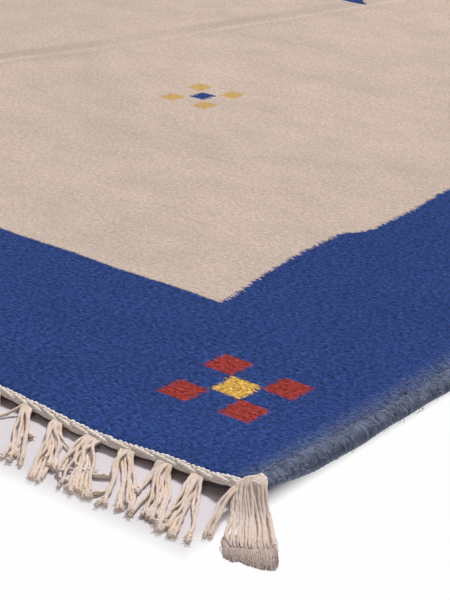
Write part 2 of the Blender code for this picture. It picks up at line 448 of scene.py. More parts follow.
# The five-square figures: their middle, step, half square and stagger, across and along
CORNER_FIGURE = ((0.6142, 0.9083), (0.0238, 0.0212), (0.0113, 0.0106), (0.0018, 0.0024))
FIELD_FIGURE = ((0.2170, 0.4800), (0.0191, 0.0192), (0.0083, 0.0083), (0.0, 0.0))
HOURGLASS_TIP = (0.142, 0.127)
HOURGLASS_WAIST = 0.016
CREAM = (0.632, 0.513, 0.455)
CREAM_WARM = (0.655, 0.520, 0.425)
CREAM_SMUDGE = (0.500, 0.385, 0.320)
BLUE = (0.0235, 0.053, 0.220)
BLUE_DULL = (0.038, 0.072, 0.225)
BLUE_LINT = (0.110, 0.150, 0.330)
RED = (0.335, 0.046, 0.038)
YELLOW = (0.690, 0.405, 0.088)
EDGE_HAZE = (0.110, 0.140, 0.250)
EDGE_HAZE_REACH = 0.018
FIELD_YELLOW = (0.610, 0.400, 0.150)

cloth_wool, tree, shader, place = new_material("woven wool", roughness=1.0, specular=0.05)
grains = use_group(tree, weave, place=place, warp_pitch=WARP_PITCH, grain_pitch=GRAIN_PITCH)
axes = split(tree, place)
x, y = axes[0], axes[1]

# Colour joins along the warps are toothed, because the wefts of the two colours turn back round
# the same warp by turns. All joins are a little ragged and blurred by stray fibres.
tooth = times(tree, minus(tree, sums(tree, "FLOORED_MODULO", grains["Grain row"], 2.0), 0.5),
              TOOTH_LENGTH)
tooth_noise = add_node(tree, "ShaderNodeTexWhiteNoise", sockets={"W": grains["Grain row"]},
                       noise_dimensions="1D")
tooth = swayed(tree, tooth, tooth_noise["Value"], TOOTH_JITTER)
rag = times(tree, minus(tree, noise(tree, place, 620.0, 3.0, 0.7), 0.5), TOOTH_RAG)
toothed_x = sums(tree, "ADD", sums(tree, "ADD", x, tooth), rag)
soft_y = swayed(tree, y, noise(tree, place, 540.0, 2.0, 0.6), TOOTH_RAG * 0.4)
side = sums(tree, "SIGN", x)
end_side = sums(tree, "SIGN", y)
from_middle_x = sums(tree, "ABSOLUTE", toothed_x)
from_middle_y = sums(tree, "ABSOLUTE", soft_y)

along_share = spread(tree, times(tree, y, side), 0.5, 1.0)
edge_place = curve_through(tree, along_share, [(0.5 + along / 2, 0.5 + out / EDGE_WANDER_SPAN)
                                               for along, out in FIELD_EDGE_WANDER])
side_out = spread(tree, edge_place, -EDGE_WANDER_SPAN / 2, EDGE_WANDER_SPAN / 2)
turned_x = add_node(tree, "ShaderNodeCombineXYZ", times(tree, x, end_side), 0.0, 0.0)
end_out = spread(tree, noise(tree, turned_x[0], FIELD_END_TURNS), -FIELD_END_WANDER, FIELD_END_WANDER)


def below(value, limit):
    """1 where a value is below a limit, over to 0 in a soft join."""
    return add_node(tree, "ShaderNodeMath", minus(tree, limit, value), 1 / JOIN_SOFTNESS, 0.5,
                    operation="MULTIPLY_ADD", use_clamp=True)[0]


def inside(value, middle, half):
    """1 where a value lies within half of a middle."""
    return below(sums(tree, "ABSOLUTE", minus(tree, value, middle)), half)


def oblong(value_x, value_y, middle, half):
    """1 inside a rectangle."""
    return times(tree, inside(value_x, middle[0], half[0]), inside(value_y, middle[1], half[1]))


def figure(middle, step, half, stagger):
    """Masks of a five-square figure: its middle square and the four set off its corners, two of
    which sit a little outwards, by stagger."""
    off = [minus(tree, from_middle_x, middle[0]), minus(tree, from_middle_y, middle[1])]
    staggered = sums(tree, "LESS_THAN", times(tree, *off), 0.0)
    set_off = [sums(tree, "ABSOLUTE", sums(tree, "MULTIPLY_ADD", staggered, -stagger[axis], off[axis]))
               for axis in range(2)]
    return oblong(*off, (0.0, 0.0), half), oblong(*set_off, step, half)


in_field = times(tree, below(minus(tree, from_middle_x, side_out), FIELD_HALF_WIDTH),
                 below(minus(tree, from_middle_y, end_out), FIELD_HALF_LENGTH))
corner_middle, corner_squares = figure(*CORNER_FIGURE)
field_middle, field_squares = figure(*FIELD_FIGURE)
flare = HOURGLASS_TIP[0] / (HOURGLASS_TIP[1] - HOURGLASS_WAIST)
flared = spread(tree, from_middle_y, -HOURGLASS_WAIST * flare, (1 - HOURGLASS_WAIST) * flare)
hourglass = times(tree, sums(tree, "LESS_THAN", from_middle_y, HOURGLASS_TIP[1]),
                  sums(tree, "LESS_THAN", from_middle_x, flared))
blue_in_field = sums(tree, "MAXIMUM", hourglass, field_middle)
is_cream = times(tree, in_field, minus(tree, 1.0, blue_in_field))

CLOTH_NOISES = (
    # scale, detail, roughness
    ((210.0, 420.0, 1.0), 3.0, 0.7),
    ((270.0, 430.0, 1.0), 3.0, 0.65),
    ((640.0, 900.0, 1.0), 2.0, 0.7),
    ((20.0, 160.0, 1.0), 2.0, 0.65),
    (6.0, 3.0, 0.55),
    ((1.7, 2.6, 1.0), 2.0, 0.5),
    ((15.0, 26.0, 1.0), 4.0, 0.65),
)
heather, mottle, specks, slubs, patches, broad, stains = [noise(tree, place, *row) for row in CLOTH_NOISES]
end_to_end = spread(tree, y, 0.5, 1.0)
fold_place = curve_through(tree, end_to_end, [(0.5 + fold_y / 2, 0.5 + fold_x)
                                              for fold_y, fold_x, _ in CREASE_LINE])
fold_strength = curve_through(tree, end_to_end, [(0.5 + fold_y / 2, strength)
                                                 for fold_y, _, strength in CREASE_LINE])
from_fold = sums(tree, "DIVIDE", minus(tree, sums(tree, "ADD", x, 0.5), fold_place), CREASE_HALF_WIDTH)
cream = mixed(tree, patches, CREAM, CREAM_WARM)
cream = mixed(tree, ranged(tree, slubs, 0.56, 0.80, 0.0, 0.50), cream, CREAM_SMUDGE)
blue = mixed(tree, ranged(tree, heather, 0.30, 0.70, 0.0, 1.0), BLUE, BLUE_DULL)
blue = mixed(tree, ranged(tree, specks, 0.68, 0.80, 0.0, 0.6), blue, BLUE_LINT)
to_side = minus(tree, CLOTH_WIDTH / 2, sums(tree, "ABSOLUTE", x))
haze_place = swayed(tree, to_side, heather, -0.014)
blue = mixed(tree, ranged(tree, haze_place, 0.0, EDGE_HAZE_REACH, 0.85, 0.0), blue, EDGE_HAZE)
colour = mixed(tree, is_cream, blue, cream)
for mask, dye in ((corner_squares, RED), (corner_middle, YELLOW), (field_squares, FIELD_YELLOW)):
    colour = mixed(tree, mask, colour, dye)

shade = swayed(tree, 1.0, grains["Tone"], spread(tree, is_cream, 0.30, 0.10))
CLOTH_SHADES = (
    # pattern, strength on dyed wool, strength on cream wool
    (mottle, 3.00, 0.90),
    (specks, 2.20, 0.75),
    (patches, 0.22, 0.14),
    (broad, 0.24, 0.16),
    (stains, 0.30, 0.36),
)
# Painted light along the crease: painted shade in a band on its left, a painted highlight on its ridge and
# fainter painted shade on its right.
CREASE_PAINTED_LIGHT = (
    # middle and reach in half widths of the crease, change of painted light
    (-1.7, 1.6, -0.16),
    (0.1, 0.42, 0.09),
    (1.1, 0.8, -0.05),
)
for pattern, on_dyed, on_cream in CLOTH_SHADES:
    part = swayed(tree, 1.0, pattern, spread(tree, is_cream, on_dyed, on_cream))
    shade = times(tree, shade, part)
for middle, reach, change in CREASE_PAINTED_LIGHT:
    off_fold = sums(tree, "DIVIDE", minus(tree, from_fold, middle), reach)
    off_square = times(tree, off_fold, off_fold)
    near_fold = sums(tree, "MAXIMUM", minus(tree, 1.0, off_square), 0.0)
    part = times(tree, times(tree, near_fold, fold_strength),
                 spread(tree, stains, 0.2 * change, 1.8 * change))
    shade = times(tree, shade, sums(tree, "ADD", part, 1.0))
# Painted shade: the gaps between the grains are painted darker, as shade falls in them.
groove = minus(tree, 1.0, sums(tree, "POWER", grains["Dome"], 0.6))
groove_painted_shade = times(tree, groove, spread(tree, is_cream, 0.18, 0.09))
shade = times(tree, shade, minus(tree, 1.0, groove_painted_shade))
coloured(tree, shader, colour, shade)

fibres = noise(tree, place, (500.0, 1400.0, 500.0), 3.0, 0.6)
height = sums(tree, "MULTIPLY_ADD", fibres, 0.8, times(tree, grains["Dome"], 0.6))
height = sums(tree, "MULTIPLY_ADD", mottle, 1.6, height)
bumped(tree, shader, height, strength=0.85, distance=0.00030)

across, along = graded_lines(CLOTH_WIDTH / 2), graded_lines(CLOTH_LENGTH / 2)
grid_x, grid_line = np.meshgrid(across, along)
grid_end = np.sign(grid_line)
near_end = eased((np.abs(grid_line) - CLOTH_LENGTH / 2 + END_RISE_REACH) / END_RISE_REACH)
grid_y = grid_line + grid_end * near_end * end_wander(grid_x, grid_end)
under = cloth_lift(grid_x, grid_line) + undulation(grid_x, grid_line) + crease(grid_x, grid_line)
to_edge = np.minimum(CLOTH_WIDTH / 2 - np.abs(grid_x), CLOTH_LENGTH / 2 - np.abs(grid_line))
rounding = EDGE_ROUNDING * (1 - np.sqrt(eased(to_edge / EDGE_ROUNDING_REACH)))
sheets = [np.stack([grid_x, grid_y, height], -1).reshape(-1, 3)
          for height in (np.maximum(under, 0) + rounding, under + CLOTH_THICKNESS - rounding)]
rows, columns = len(along), len(across)
count = rows * columns
cloth_faces = grid_faces(rows, columns, 0, flip=True) + grid_faces(rows, columns, count)
rim = (list(range(columns)) + [j * columns + columns - 1 for j in range(1, rows)]
       + [count - 1 - i for i in range(1, columns)] + [j * columns for j in range(rows - 2, 0, -1)])
for k, here in enumerate(rim):
    there = rim[(k + 1) % len(rim)]
    cloth_faces.append((here, there, there + count, here + count))
panel = add_mesh("woven_panel_cloth", np.concatenate(sheets), cloth_faces, cloth_wool)
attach(panel, "root")
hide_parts("woven_panel")


# The side rolls: at each side the outer warps are bunched and wrapped over with grey-blue wool,
# turn by turn, which has felted and grown fuzzy. They swell and lift off the floor at their ends.
ROLL_WIDTH = 0.0105
ROLL_LAP = 0.0024
ROLL_SIDES = 18
ROLL_STEP = 0.00105
ROLL_SECTIONS = (
    # away from its end, foot, crest
    (0.000, 0.0096, 0.0156),
    (0.014, 0.0058, 0.0156),
    (0.028, 0.0026, 0.0148),
    (0.045, 0.0008, 0.0138),
    (0.072, 0.0000, 0.0120),
    (0.100, 0.0000, 0.0108),
    (0.140, 0.0000, 0.0100),
)
WRAP_PITCH = 0.0043
WRAP_RELIEF = 0.00075
WRAP_STRAY = 0.0004
WRAP_HEIGHTS = (0.35, 1.0)
ROLL_LEAST_HEIGHT = 0.0002
FUZZ_DENSITY = 132000
FUZZ_BED = 0.014
FUZZ_LENGTH = 0.0036
FUZZ_THICKNESS = 0.00018
FUZZ_ARCH = ((0.0, 0.0, -0.04), (0.45, 0.16, 0.55), (1.0, -0.10, 0.02))
FUZZ_TURNS = ((-0.35, -0.35, 0.0), (0.35, 0.35, math.tau))
FUZZ_SIZES = (0.45, 1.25)
LEAST_HEIGHT = 0.0003
# How thickly the fuzz grows from the cloth over the roll and down its outer side
FUZZ_GROWTH = (0.0, 0.08, 0.2, 0.5, 1.0, 1.0, 1.0, 1.0, 1.0, 0.9, 0.7, 0.5, 0.2)
FUZZ_ON_CLOTH = (0.0, 0.35, 0.7, 1.0)
FUZZ_OVER_ROLL = (2.6, -0.5)
FUZZ_ABOVE_CLOTH = 0.0004
FUZZ_BED_LEAST_HEIGHT = 0.0008
EDGE_GREY = (0.116, 0.142, 0.226)
EDGE_BLUE = (0.045, 0.075, 0.210)
EDGE_PALE = (0.440, 0.460, 0.580)
EDGE_DARK = (0.030, 0.032, 0.060)

edge_wool, tree, shader, place = new_material("wrapped edge wool", roughness=0.95, specular=0.12,
                                               sheen=0.15)
axes = split(tree, place)
past_cloth = minus(tree, sums(tree, "ABSOLUTE", axes[0]), CLOTH_WIDTH / 2)
mottle = noise(tree, place, 190.0, 4.0, 0.66)
strands = noise(tree, place, (110.0, 480.0, 110.0), 4.0, 0.7)
blend_place = swayed(tree, past_cloth, mottle, 0.014)
colour = mixed(tree, ranged(tree, blend_place, -0.002, 0.0065, 0.25, 1.0), EDGE_BLUE, EDGE_GREY)
colour = mixed(tree, ranged(tree, strands, 0.54, 0.76, 0.0, 0.55), colour, EDGE_PALE)
colour = mixed(tree, ranged(tree, strands, 0.50, 0.32, 0.0, 0.65), colour, EDGE_DARK)
# Painted shade: the outer lower side of the roll is painted darker, as it turns under towards the floor.
underside_painted_shade = ranged(tree, past_cloth, 0.0090, 0.0108, 1.0, 0.78)
shade = times(tree, spread(tree, mottle, 0.50, 1.52), underside_painted_shade)
coloured(tree, shader, colour, shade)
bumped(tree, shader, strands, strength=0.9, distance=0.0004)

fuzz_wool, tree, shader, place = new_material("edge wool fuzz", roughness=0.9, specular=0.1)
tint = ranged(tree, noise(tree, place, 320.0), 0.35, 0.65, 0.0, 1.0)
tree.links.new(mixed(tree, tint, EDGE_GREY, EDGE_PALE), shader.inputs["Base Color"])


def new_tree(name, **inputs):
    """A Geometry Nodes tree with a geometry input and output and inputs of the given kinds."""
    made = bpy.data.node_groups.new(name, "GeometryNodeTree")
    made.interface.new_socket("Geometry", in_out="INPUT", socket_type="NodeSocketGeometry")
    for socket, kind in inputs.items():
        made.interface.new_socket(socket, in_out="INPUT", socket_type=f"NodeSocket{kind}")
    made.interface.new_socket("Geometry", in_out="OUTPUT", socket_type="NodeSocketGeometry")
    return made, made.nodes.new("NodeGroupInput").outputs, made.nodes.new("NodeGroupOutput").inputs


def grow(name, source, tree, **values):
    """Run a Geometry Nodes tree on an object and keep the result as a plain mesh object."""
    modifier = source.modifiers.new("grow", "NODES")
    modifier.node_group = tree
    for item in tree.interface.items_tree:
        key = item.name.lower().replace(" ", "_")
        if item.item_type == "SOCKET" and item.in_out == "INPUT" and key in values:
            modifier[item.identifier] = values[key]
    evaluated = source.evaluated_get(bpy.context.evaluated_depsgraph_get())
    mesh = bpy.data.meshes.new_from_object(evaluated)
    source.modifiers.remove(modifier)
    mesh.name = name
    return place_object(name, mesh)


def float_mark(tree, name):
    """A number that the points carry under a name."""
    return add_node(tree, "GeometryNodeInputNamedAttribute", data_type="FLOAT", sockets={"Name": name})[0]


def random_size(tree, low, high):
    """A size of its own for each instance."""
    return add_node(tree, "FunctionNodeRandomValue", None, None, low, high, data_type="FLOAT")[1]


def random_turn(tree, points, seed, low, high):
    """The points' own turn, turned further by a random angle about each axis."""
    angles = add_node(tree, "FunctionNodeRandomValue", data_type="FLOAT_VECTOR",
                      sockets={"Min": low, "Max": high, "Seed": seed})
    spin = add_node(tree, "FunctionNodeEulerToRotation", angles[0])
    return add_node(tree, "FunctionNodeRotateRotation", points["Rotation"], spin[0],
                    rotation_space="LOCAL")[0]


def planted(tree, points, instance, turn, size):
    """A copy of a shape on each point, with its own turn and size."""
    return add_node(tree, "GeometryNodeInstanceOnPoints", sockets={
        "Points": points["Points"], "Instance": instance, "Rotation": turn, "Scale": size})[0]


def finished(tree, result, geometry, material):
    """End a tree by giving its geometry a material."""
    paint = add_node(tree, "GeometryNodeSetMaterial", sockets={"Geometry": geometry, "Material": material})
    tree.links.new(paint[0], result[0])


# Loose wool fibres stand in low arches on the wrapping and on the cloth beside it, at random places
# and turns. The bed they grow on tells by its points how many there are.
fuzz_tree, given, result = new_tree("wool fuzz", Density="Float", Length="Float", Thickness="Float",
                                    Seed="Int", Material="Material")
scatter = add_node(fuzz_tree, "GeometryNodeDistributePointsOnFaces", sockets={
    "Mesh": given["Geometry"], "Seed": given["Seed"],
    "Density": times(fuzz_tree, float_mark(fuzz_tree, "growth"), given["Density"])})
arch = add_node(fuzz_tree, "GeometryNodeCurveQuadraticBezier", sockets={
    "Resolution": 3, "Start": FUZZ_ARCH[0], "Middle": FUZZ_ARCH[1], "End": FUZZ_ARCH[2]})
fibre_ring = add_node(fuzz_tree, "GeometryNodeCurvePrimitiveCircle", sockets={
    "Resolution": 3, "Radius": sums(fuzz_tree, "DIVIDE", given["Thickness"], given["Length"])})
sweep = add_node(fuzz_tree, "GeometryNodeCurveToMesh", sockets={
    "Curve": arch[0], "Profile Curve": fibre_ring[0], "Fill Caps": True})
turn = random_turn(fuzz_tree, scatter, given["Seed"], *FUZZ_TURNS)
size = times(fuzz_tree, random_size(fuzz_tree, *FUZZ_SIZES), given["Length"])
fibres = planted(fuzz_tree, scatter, sweep[0], turn, size)
whole = add_node(fuzz_tree, "GeometryNodeRealizeInstances", fibres)
spot = split(fuzz_tree, add_node(fuzz_tree, "GeometryNodeInputPosition")[0])
above = add_node(fuzz_tree, "ShaderNodeCombineXYZ", spot[0], spot[1],
                 sums(fuzz_tree, "MAXIMUM", spot[2], LEAST_HEIGHT))
keep_up = add_node(fuzz_tree, "GeometryNodeSetPosition", sockets={
    "Geometry": whole[0], "Position": above[0]})
finished(fuzz_tree, result, keep_up[0], given["Material"])

for name, side, seed in (("right", 1, 5), ("left", -1, 9)):
    draw = np.random.default_rng(seed)
    lines = np.arange(-CLOTH_LENGTH / 2, CLOTH_LENGTH / 2 + ROLL_STEP / 2, ROLL_STEP)[:, None]
    turns = math.tau * (np.arange(ROLL_SIDES) + 0.5)[None, :] / ROLL_SIDES
    foot, crest = on_line(ROLL_SECTIONS, CLOTH_LENGTH / 2 - np.abs(lines))
    half_height = (crest - foot) / 2
    half_width = (ROLL_WIDTH + ROLL_LAP) / 2
    middle = CLOTH_WIDTH / 2 + PIECE_GAP + ROLL_WIDTH - half_width
    wrap = lines / WRAP_PITCH + turns / math.tau
    wrap_number = np.floor(wrap).astype(int)
    wrap_number -= wrap_number.min()
    own_height = draw.uniform(*WRAP_HEIGHTS, wrap_number.max() + 2)[wrap_number]
    own_stray = draw.uniform(-1.0, 1.0, wrap_number.max() + 2)[wrap_number]
    relief = WRAP_RELIEF * own_height * (np.abs(np.sin(math.pi * wrap)) ** 0.7 - 0.8)
    swell = 1 + 0.05 * np.sin(lines * 61.0 + 1.3 * side) + 0.04 * np.sin(lines * 143.0)
    out = (half_width * swell + relief) * np.cos(turns)
    up = (half_height * swell + relief) * np.sin(turns)
    ring_y = lines + WRAP_STRAY * own_stray * np.sin(turns)
    ring_z = np.maximum(foot + half_height + up, ROLL_LEAST_HEIGHT)
    points = np.stack([side * (middle + out), ring_y, ring_z], -1).reshape(-1, 3)
    roll_faces = []
    for j in range(len(lines) - 1):
        for k in range(ROLL_SIDES):
            after = (k + 1) % ROLL_SIDES
            quad = (j * ROLL_SIDES + k, (j + 1) * ROLL_SIDES + k,
                    (j + 1) * ROLL_SIDES + after, j * ROLL_SIDES + after)
            roll_faces.append(quad if side > 0 else quad[::-1])
    last_ring = (len(lines) - 1) * ROLL_SIDES
    caps = [tuple(first + k for k in range(ROLL_SIDES)) for first in (0, last_ring)]
    roll_faces.append(caps[0] if side > 0 else caps[0][::-1])
    roll_faces.append(caps[1][::-1] if side > 0 else caps[1])
    roll = add_mesh(f"side_roll_{name}_wrapping", points, roll_faces, edge_wool)
    on_cloth = np.array(FUZZ_ON_CLOTH)[None, :]
    bed_x = CLOTH_WIDTH / 2 - FUZZ_BED * (1 - on_cloth) + 0 * lines
    bed_z = cloth_lift(side * bed_x, lines) + CLOTH_THICKNESS + FUZZ_ABOVE_CLOTH
    bed_columns = len(FUZZ_GROWTH)
    angle = np.linspace(*FUZZ_OVER_ROLL, bed_columns - len(FUZZ_ON_CLOTH))[None, :]
    over_x = middle + half_width * np.cos(angle) + 0 * lines
    over_z = np.maximum(foot + half_height * (1 + np.sin(angle)), FUZZ_BED_LEAST_HEIGHT)
    bed = np.stack([side * np.concatenate([bed_x, over_x], 1), lines + np.zeros((1, bed_columns)),
                    np.concatenate([bed_z, over_z], 1)], -1).reshape(-1, 3)
    growths = np.array(FUZZ_GROWTH) + 0 * lines
    bed_source = add_mesh("fuzz_bed", bed, grid_faces(len(lines), bed_columns, flip=side < 0), fuzz_wool)
    bed_source.data.attributes.new("growth", "FLOAT", "POINT").data.foreach_set("value", growths.ravel())
    fuzz = grow(f"side_roll_{name}_fuzz", bed_source, fuzz_tree, density=float(FUZZ_DENSITY),
                length=FUZZ_LENGTH, thickness=FUZZ_THICKNESS, seed=seed, material=fuzz_wool)
    bpy.data.objects.remove(bed_source)
    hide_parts(f"side_roll_{name}")
    for piece in (roll, fuzz):
        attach(piece, "root")


# The end cord: along each woven end the warp ends are plaited into a cord of three thick strands,
# with a row of small warp loops where it leaves the cloth.
CORD_WIDTH = 0.0057
CORD_HEIGHT = 0.0058
CORD_RISE_ON_ROLL = 0.0050
CORD_RISE_REACH = 0.0060
CORD_STRANDS = 3
CORD_STRAND_RADIUS = 0.00155
CORD_STRAND_OFF = 0.00115
CORD_OVERHANG = 0.0098
CORD_END_TAPER = 0.004
CORD_SIDES = 8
CORD_TWIST = 0.042
CORD_STEP = 0.0026
LOOP_MARGIN = 0.004
LOOP_OUT = 0.0022
LOOP_HEIGHT = 0.78 * CORD_HEIGHT
LOOP_SEED = 3
LOOP_SPACING = 0.0037
LOOP_LENGTH = 0.0021
LOOP_THICKNESS = 0.00165
LOOP_TURNS = ((-0.10, 0.15, 0.0), (0.25, 0.45, math.tau))
LOOP_SIZES = (0.70, 1.20)
COTTON = (0.825, 0.690, 0.635)
# The cord and loop cotton are lighter than the tassel cotton: partly their own paler cream, partly painted
# light on their fronts, which lie in shade.
COTTON_PALE_WITH_PAINTED_LIGHT = (0.950, 0.875, 0.835)
CORD_COTTON_WITH_PAINTED_LIGHT = (0.930, 0.795, 0.690)
COTTON_YELLOWED = (0.800, 0.640, 0.500)
COTTON_TIP = (0.450, 0.355, 0.325)

# Plied cotton: fine slanting fibres round each yarn, told by how far along and round it they lie.
plied, given, result = new_group("plied yarn", ("Around*", "Along", "Ply pitch", "Plies"),
                                 ("Ridge", "Groove"))
round_axes = split(plied, given["Around"])
angle = sums(plied, "ARCTAN2", round_axes[1], round_axes[0])
lead = times(plied, sums(plied, "DIVIDE", given["Along"], given["Ply pitch"]), math.tau)
wound = times(plied, sums(plied, "ADD", lead, angle), times(plied, given["Plies"], 0.5))
ridge = sums(plied, "ABSOLUTE", sums(plied, "SINE", wound))
plied.links.new(sums(plied, "POWER", ridge, 0.6), result["Ridge"])
plied.links.new(sums(plied, "POWER", minus(plied, 1.0, ridge), 3.0), result["Groove"])


def cotton_material(name, colour_a, colour_b, ply_pitch, plies, relief, groove):
    """Undyed cotton yarn, a little yellowed in places and greyer towards its worn tips."""
    made, tree, shader, place = new_material(name, roughness=0.9, specular=0.15, sheen=0.10)
    around = add_node(tree, "ShaderNodeAttribute", attribute_name="around")["Vector"]
    along, worn = [add_node(tree, "ShaderNodeAttribute", attribute_name=mark)["Fac"]
                   for mark in ("along", "worn")]
    yarn = use_group(tree, plied, around=around, along=along, ply_pitch=ply_pitch, plies=float(plies))
    patches = noise(tree, place, 95.0, 3.0, 0.6)
    fine = noise(tree, place, 900.0, 2.0, 0.6)
    colour = mixed(tree, ranged(tree, patches, 0.38, 0.68, 0.0, 1.0), colour_a, colour_b)
    colour = mixed(tree, worn, colour, COTTON_TIP)
    # Painted shade: the grooves between the plies are painted darker, as shade falls in them.
    ply_groove_painted_shade = spread(tree, yarn["Groove"], 1.0, groove)
    shade = times(tree, ply_groove_painted_shade, spread(tree, fine, 0.88, 1.12))
    coloured(tree, shader, colour, shade)
    bumped(tree, shader, sums(tree, "MULTIPLY_ADD", fine, 0.3, yarn["Ridge"]), 0.8, relief)
    return made


COTTONS = (
    # name, main colour, other colour, ply pitch, plies, relief, painted shade of its grooves
    ("plaited cord cotton", CORD_COTTON_WITH_PAINTED_LIGHT, COTTON_PALE_WITH_PAINTED_LIGHT, 0.0085, 3, 0.00022, 0.74),
    ("warp loop cotton", COTTON_PALE_WITH_PAINTED_LIGHT, CORD_COTTON_WITH_PAINTED_LIGHT, 0.0040, 2, 0.00010, 0.95),
    ("tassel cotton", COTTON, COTTON_YELLOWED, 0.0110, 2, 0.00008, 0.84),
)
cord_cotton, loop_cotton, strand_cotton = [cotton_material(*row) for row in COTTONS]


def end_line(x, end):
    """Place along Y of the woven end and the height of the cloth's underside there."""
    return end * (CLOTH_LENGTH / 2 + end_wander(x, end)), cloth_lift(x, end * CLOTH_LENGTH / 2)


def cord_foot(u, end):
    """Height of the end cord's foot, which climbs where the cord passes over a side roll."""
    u = np.asarray(u, float)
    past = np.maximum(np.maximum(-u, u - CLOTH_WIDTH), 0.0)
    climb = CORD_RISE_ON_ROLL * np.minimum(1.0, past / CORD_RISE_REACH)
    return end_line(-end * (CLOTH_WIDTH / 2 - u), end)[1] + climb


def at_end(u, out, z, end):
    """Points at u from the right side edge and out past the woven end, in the frame."""
    x = -end * (CLOTH_WIDTH / 2 - u)
    return np.stack([x, end_line(x, end)[0] + end * out, z + 0 * x], -1)


# Yarns are swept along their paths; each point carries its thickness, and how worn it is.
sweep_tree, given, result = new_tree("yarn sweep", Sides="Int", Material="Material")
as_curve = add_node(sweep_tree, "GeometryNodeMeshToCurve", given["Geometry"])
yarn_ring = add_node(sweep_tree, "GeometryNodeCurvePrimitiveCircle", sockets={
    "Resolution": given["Sides"], "Radius": 1.0})
mark_ring = add_node(sweep_tree, "GeometryNodeStoreNamedAttribute", data_type="FLOAT_VECTOR", sockets={
    "Geometry": yarn_ring[0], "Name": "around",
    "Value": add_node(sweep_tree, "GeometryNodeInputPosition")[0]})
swept = add_node(sweep_tree, "GeometryNodeCurveToMesh", sockets={
    "Curve": as_curve[0], "Profile Curve": mark_ring[0],
    "Scale": float_mark(sweep_tree, "thick"), "Fill Caps": True})
smooth = add_node(sweep_tree, "GeometryNodeSetShadeSmooth", swept[0])
whole = add_node(sweep_tree, "GeometryNodeRealizeInstances", smooth[0])
finished(sweep_tree, result, whole[0], given["Material"])


def grow_on_lines(name, points, edges, marks, tree, **values):
    """Run a Geometry Nodes tree on a mesh of lines, whose points carry some numbers by name."""
    mesh = bpy.data.meshes.new(name + "_paths")
    mesh.from_pydata(points.tolist(), edges, [])
    for mark, rows in marks:
        made = mesh.attributes.new(mark, "FLOAT", "POINT")
        made.data.foreach_set("value", np.concatenate(rows).astype(np.float32))
    source = place_object(name + "_paths", mesh)
    piece = grow(name, source, tree, **values)
    bpy.data.objects.remove(source)
    return piece


def lay_yarns(name, paths, thicknesses, wears, sides, material):
    """Sweep yarns of their own thickness along paths, each an array of points."""
    starts = np.cumsum([0] + [len(path) for path in paths[:-1]])
    edges = [(s + k, s + k + 1) for s, path in zip(starts, paths) for k in range(len(path) - 1)]
    lengths = [np.r_[0, np.cumsum(np.linalg.norm(np.diff(path, axis=0), axis=1))] for path in paths]
    marks = (("thick", thicknesses), ("worn", wears), ("along", lengths))
    return grow_on_lines(name, np.concatenate(paths), edges, marks, sweep_tree, sides=sides,
                         material=material)


# Warp loops: one small bead of cotton after another, each a little slanted and of its own size.
loop_tree, given, result = new_tree("warp loops", Spacing="Float", Length="Float", Thickness="Float",
                                    Seed="Int", Material="Material")
as_curve = add_node(loop_tree, "GeometryNodeMeshToCurve", given["Geometry"])
spaced = add_node(loop_tree, "GeometryNodeCurveToPoints", mode="LENGTH", sockets={
    "Curve": as_curve[0], "Length": given["Spacing"]})
bead = add_node(loop_tree, "GeometryNodeMeshUVSphere", sockets={"Segments": 8, "Rings": 5, "Radius": 1.0})
stretch = add_node(loop_tree, "ShaderNodeCombineXYZ", given["Thickness"], given["Thickness"],
                   given["Length"])
formed = add_node(loop_tree, "GeometryNodeTransform", sockets={
    "Geometry": bead["Mesh"], "Scale": stretch[0]})
turn = random_turn(loop_tree, spaced, given["Seed"], *LOOP_TURNS)
beads = planted(loop_tree, spaced, formed[0], turn, random_size(loop_tree, *LOOP_SIZES))
smooth = add_node(loop_tree, "GeometryNodeSetShadeSmooth", beads)
whole = add_node(loop_tree, "GeometryNodeRealizeInstances", smooth[0])
finished(loop_tree, result, whole[0], given["Material"])

end_pieces = {-1: [], 1: []}
end_names = {-1: "near", 1: "far"}
for end, end_name in end_names.items():
    cord_u = np.arange(-CORD_OVERHANG, CLOTH_WIDTH + CORD_OVERHANG, CORD_STEP)
    cord_middle = PIECE_GAP + CORD_WIDTH * 0.55
    climb = cord_foot(cord_u, end) + CORD_HEIGHT * 0.50
    paths, thicknesses, wears = [], [], []
    for k in range(CORD_STRANDS):
        phase = math.tau * (cord_u / CORD_TWIST + k / CORD_STRANDS) + 0.6 * np.sin(cord_u * 37.0)
        paths.append(at_end(cord_u, cord_middle + CORD_STRAND_OFF * np.cos(phase),
                            climb + CORD_STRAND_OFF * np.sin(phase), end))
        ends_in = np.minimum(cord_u - cord_u[0], cord_u[-1] - cord_u)
        thicknesses.append(CORD_STRAND_RADIUS * np.sqrt(np.clip(0.3 + ends_in / CORD_END_TAPER, 0.3, 1.0))
                           * (1 + 0.06 * np.sin(cord_u * 210 + 2 * k)))
        wears.append(0.05 + 0 * cord_u)
    cord = lay_yarns(f"end_cord_{end_name}", paths, thicknesses, wears, CORD_SIDES, cord_cotton)
    loop_u = np.arange(LOOP_MARGIN, CLOTH_WIDTH - LOOP_MARGIN, LOOP_MARGIN)
    loop_path = at_end(loop_u, LOOP_OUT, cord_foot(loop_u, end) + LOOP_HEIGHT, end)
    loop_edges = [(k, k + 1) for k in range(len(loop_path) - 1)]
    loops = grow_on_lines(f"end_loops_{end_name}", loop_path, loop_edges, (), loop_tree,
                          spacing=LOOP_SPACING, length=LOOP_LENGTH, thickness=LOOP_THICKNESS,
                          seed=LOOP_SEED, material=loop_cotton)
    end_pieces[end] += [cord, loops]


